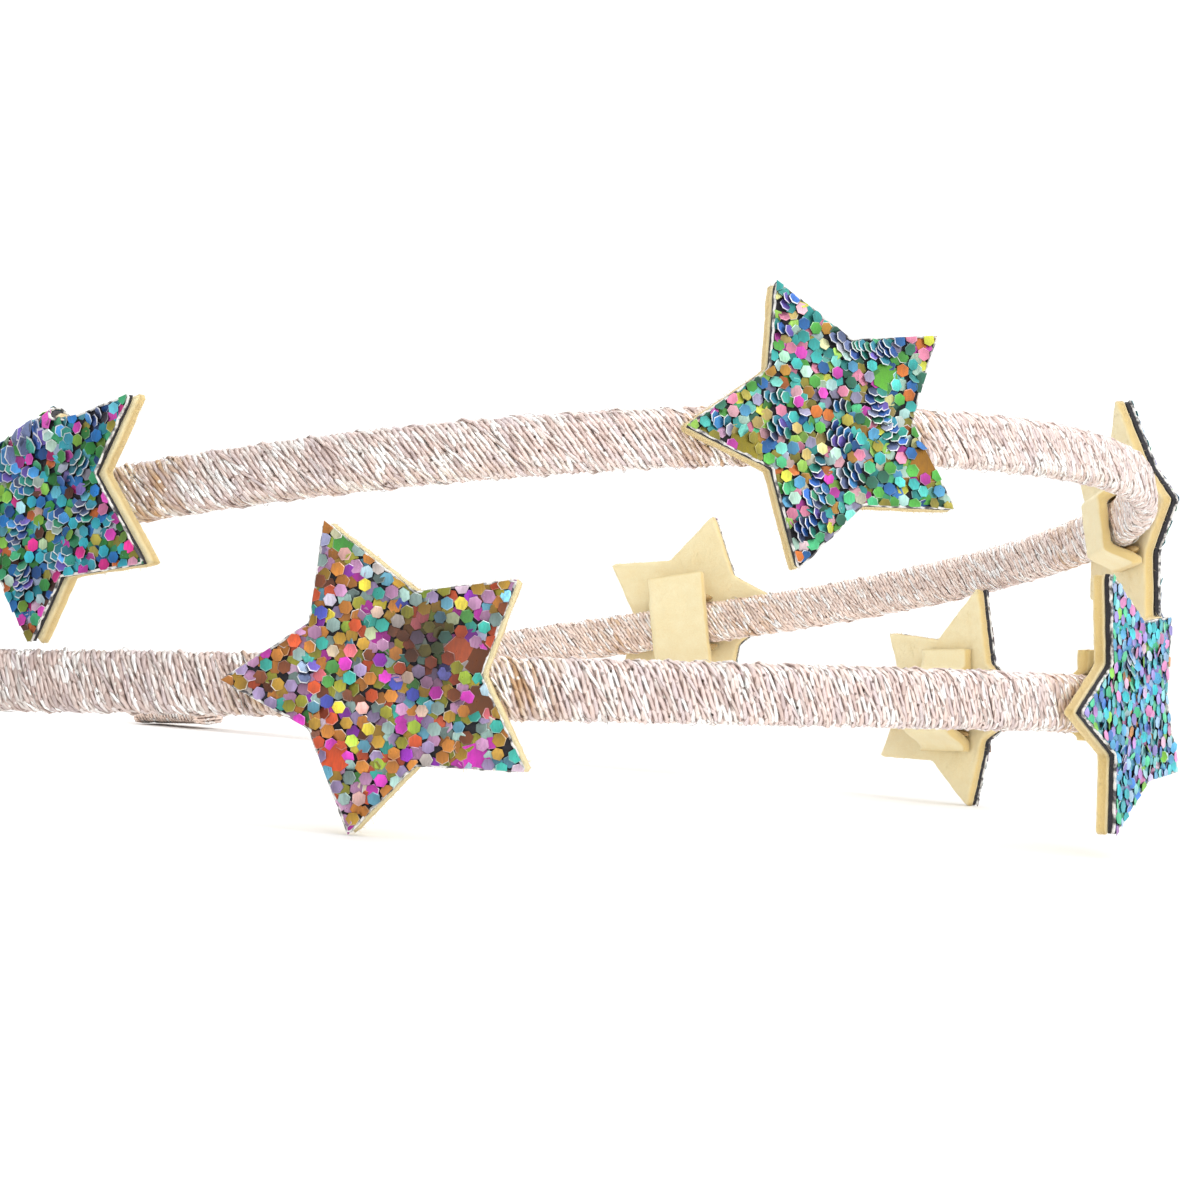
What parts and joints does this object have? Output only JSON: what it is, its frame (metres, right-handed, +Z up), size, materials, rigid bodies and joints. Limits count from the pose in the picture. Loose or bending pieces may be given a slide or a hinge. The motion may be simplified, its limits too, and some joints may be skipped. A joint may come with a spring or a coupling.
{
  "type": "star headband",
  "caption": "Double hair band of two thread-wound arches bound together at both ends, with felt-backed glitter stars glued along them; worn over the head.",
  "frame": {"origin": "middle of the footprint, on the floor that the headband lies on", "axes": "+X from the open ends towards the crown, -Y the near leg, +Z up; the headband lies on its side"},
  "size_m": [0.1428, 0.132, 0.042],
  "materials": {
    "thread": "pale rose metallic thread, wound side by side",
    "felt": "cream wool felt, cut edges",
    "glitter": "many-coloured hexagonal film flakes on black cloth"
  },
  "bodies": {
    "root": {"lower_band": "thread", "upper_band": "thread", "near_end_binding": "thread", "far_end_binding": "thread", "lower_star_1_sheet": "glitter", "lower_star_1_felt": "felt", "lower_star_1_patch": "felt", "lower_star_2_sheet": "glitter", "lower_star_2_felt": "felt", "lower_star_2_patch": "felt", "lower_star_3_sheet": "glitter", "lower_star_3_felt": "felt", "lower_star_3_patch": "felt", "upper_star_1_sheet": "glitter", "upper_star_1_felt": "felt", "upper_star_1_patch": "felt", "upper_star_2_sheet": "glitter", "upper_star_2_felt": "felt", "upper_star_2_patch": "felt", "upper_star_3_sheet": "glitter", "upper_star_3_felt": "felt", "upper_star_3_patch": "felt", "upper_star_4_sheet": "glitter", "upper_star_4_felt": "felt", "upper_star_4_patch": "felt"}
  },
  "joints": []
}
